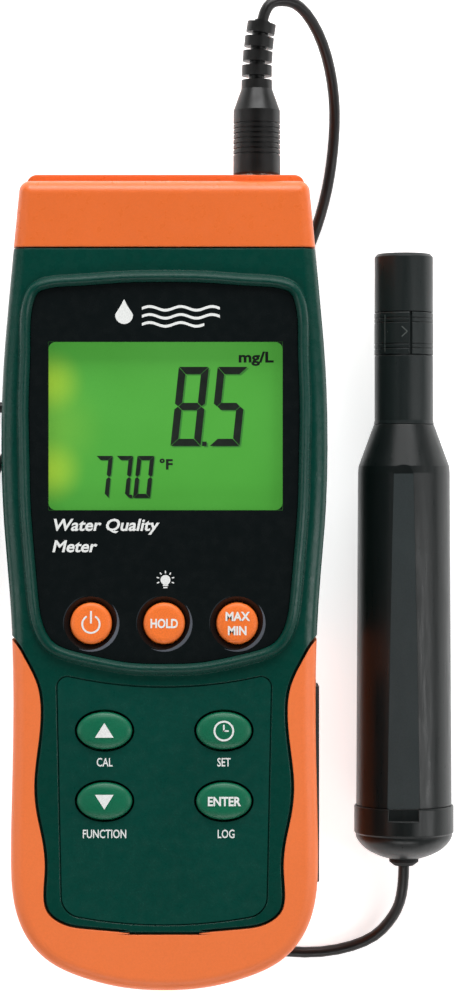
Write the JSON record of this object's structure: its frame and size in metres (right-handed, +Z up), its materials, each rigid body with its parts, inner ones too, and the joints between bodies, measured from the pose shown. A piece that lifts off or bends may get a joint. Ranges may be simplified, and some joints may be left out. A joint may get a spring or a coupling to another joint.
{
  "type": "water quality probe",
  "caption": "Handheld dissolved-oxygen meter with a backlit display, round and oval keys and a rubber grip, and a black cylindrical probe on a thin lead that plugs into its top end.",
  "frame": {"origin": "on the surface the set rests on, under the middle of the meter and probe together", "axes": "+Z up out of the display, +Y towards the probe socket end, +X from the meter towards the probe"},
  "size_m": [0.1616, 0.228, 0.0475],
  "materials": {
    "green_plastic": "fine moulded texture, dark green",
    "orange_rubber": "satin orange overmould",
    "black_panel": "satin black",
    "window": "clear, hard coated",
    "lcd": "green backlit display",
    "orange_key": "satin moulded rubber",
    "green_key": "satin moulded rubber",
    "key_overlay": "fine sparkle texture",
    "silicone": "translucent grey",
    "board": "solder mask green",
    "black_rubber": "matt black",
    "black_plastic": "satin black moulding",
    "steel": "zinc plated",
    "brass": "turned brass",
    "nickel": "nickel plated",
    "cell_jacket": "printed metal jacket",
    "backlight": "translucent light guide",
    "probe_black": "satin black moulding",
    "gold": "polished cathode tip",
    "silver": "silver anode sleeve",
    "membrane": "thin translucent film",
    "lead_jacket": "satin flexible jacket",
    "card": "blue memory card"
  },
  "bodies": {
    "meter": {"front_case": "green_plastic", "rear_case": "green_plastic", "top_cap": "orange_rubber", "grip": "orange_rubber", "display_panel": "black_panel", "display_window": "window", "lcd_panel": "lcd", "backlight": "backlight", "keypad_overlay": "key_overlay", "keypad_mat": "silicone", "main_board": "board", "dc_jack": "black_plastic", "data_jack": "black_plastic", "reset_switch": "black_plastic", "card_socket": "steel", "cells": "cell_jacket", "battery_contacts": "nickel", "battery_cover": "green_plastic", "stand_pin": "steel", "tripod_insert": "brass", "rubber_feet": "black_rubber", "case_screws": "steel", "cover_screw": "steel", "port_pin": "steel", "probe_socket": "black_plastic"},
    "lead_set": {"plug_body": "black_plastic", "plug_shell": "nickel", "plug_pins": "brass", "strain_relief": "black_rubber", "lead_upper": "lead_jacket", "lead_lower": "lead_jacket", "lead_coil": "lead_jacket", "coil_tie": "black_rubber", "probe_body": "probe_black", "probe_end_cap": "probe_black", "lead_gland": "black_rubber", "preamp_board": "board", "sensor_neck": "probe_black", "sensor_head": "probe_black", "membrane_cap": "probe_black", "membrane": "membrane", "anode": "silver", "cathode": "gold", "seal_rings": "black_rubber", "thermistor": "steel"},
    "key_power": {"key_power": "orange_key"},
    "key_hold": {"key_hold": "orange_key"},
    "key_max_min": {"key_max_min": "orange_key"},
    "key_up": {"key_up": "green_key"},
    "key_set": {"key_set": "green_key"},
    "key_down": {"key_down": "green_key"},
    "key_enter": {"key_enter": "green_key"},
    "lock_ring": {"lock_ring": "probe_black"},
    "tilt_stand": {"tilt_stand": "black_plastic"},
    "port_cover": {"port_cover": "black_rubber"},
    "reset_button": {"reset_button": "silicone"},
    "memory_card": {"memory_card": "card"}
  },
  "joints": [
    {"name": "key_power_press", "type": "slide", "parent": "meter", "child": "key_power", "axis": [0, 0, -1], "range_m": [0, 0.0008], "stiffness_N_per_m": 1500},
    {"name": "key_hold_press", "type": "slide", "parent": "meter", "child": "key_hold", "axis": [0, 0, -1], "range_m": [0, 0.0008], "stiffness_N_per_m": 1500},
    {"name": "key_max_min_press", "type": "slide", "parent": "meter", "child": "key_max_min", "axis": [0, 0, -1], "range_m": [0, 0.0008], "stiffness_N_per_m": 1500},
    {"name": "key_up_press", "type": "slide", "parent": "meter", "child": "key_up", "axis": [0, 0, -1], "range_m": [0, 0.0008], "stiffness_N_per_m": 1500},
    {"name": "key_set_press", "type": "slide", "parent": "meter", "child": "key_set", "axis": [0, 0, -1], "range_m": [0, 0.0008], "stiffness_N_per_m": 1500},
    {"name": "key_down_press", "type": "slide", "parent": "meter", "child": "key_down", "axis": [0, 0, -1], "range_m": [0, 0.0008], "stiffness_N_per_m": 1500},
    {"name": "key_enter_press", "type": "slide", "parent": "meter", "child": "key_enter", "axis": [0, 0, -1], "range_m": [0, 0.0008], "stiffness_N_per_m": 1500},
    {"name": "reset_press", "type": "slide", "parent": "meter", "child": "reset_button", "axis": [-1, 0, 0], "range_m": [0, 0.0008], "stiffness_N_per_m": 1500},
    {"name": "stand_swing", "type": "hinge", "parent": "meter", "child": "tilt_stand", "pos_m": [-0.0154, 0.002, 0.006], "axis": [1, 0, 0], "range_deg": [0, 60]},
    {"name": "port_cover_swing", "type": "hinge", "parent": "meter", "child": "port_cover", "pos_m": [0.0184, -0.046, 0.0362], "axis": [0, -1, 0], "range_deg": [0, 100]},
    {"name": "card_slide", "type": "slide", "parent": "meter", "child": "memory_card", "axis": [0, -1, 0], "range_m": [0, 0.02]},
    {"name": "plug_pull", "type": "slide", "parent": "meter", "child": "lead_set", "axis": [0, 1, 0], "range_m": [0, 0.01]},
    {"name": "lock_ring_turn", "type": "hinge", "parent": "lead_set", "child": "lock_ring", "pos_m": [0.04045, 0.05775, 0.01175], "axis": [0, 1, 0], "range_deg": [0, 90]}
  ]
}
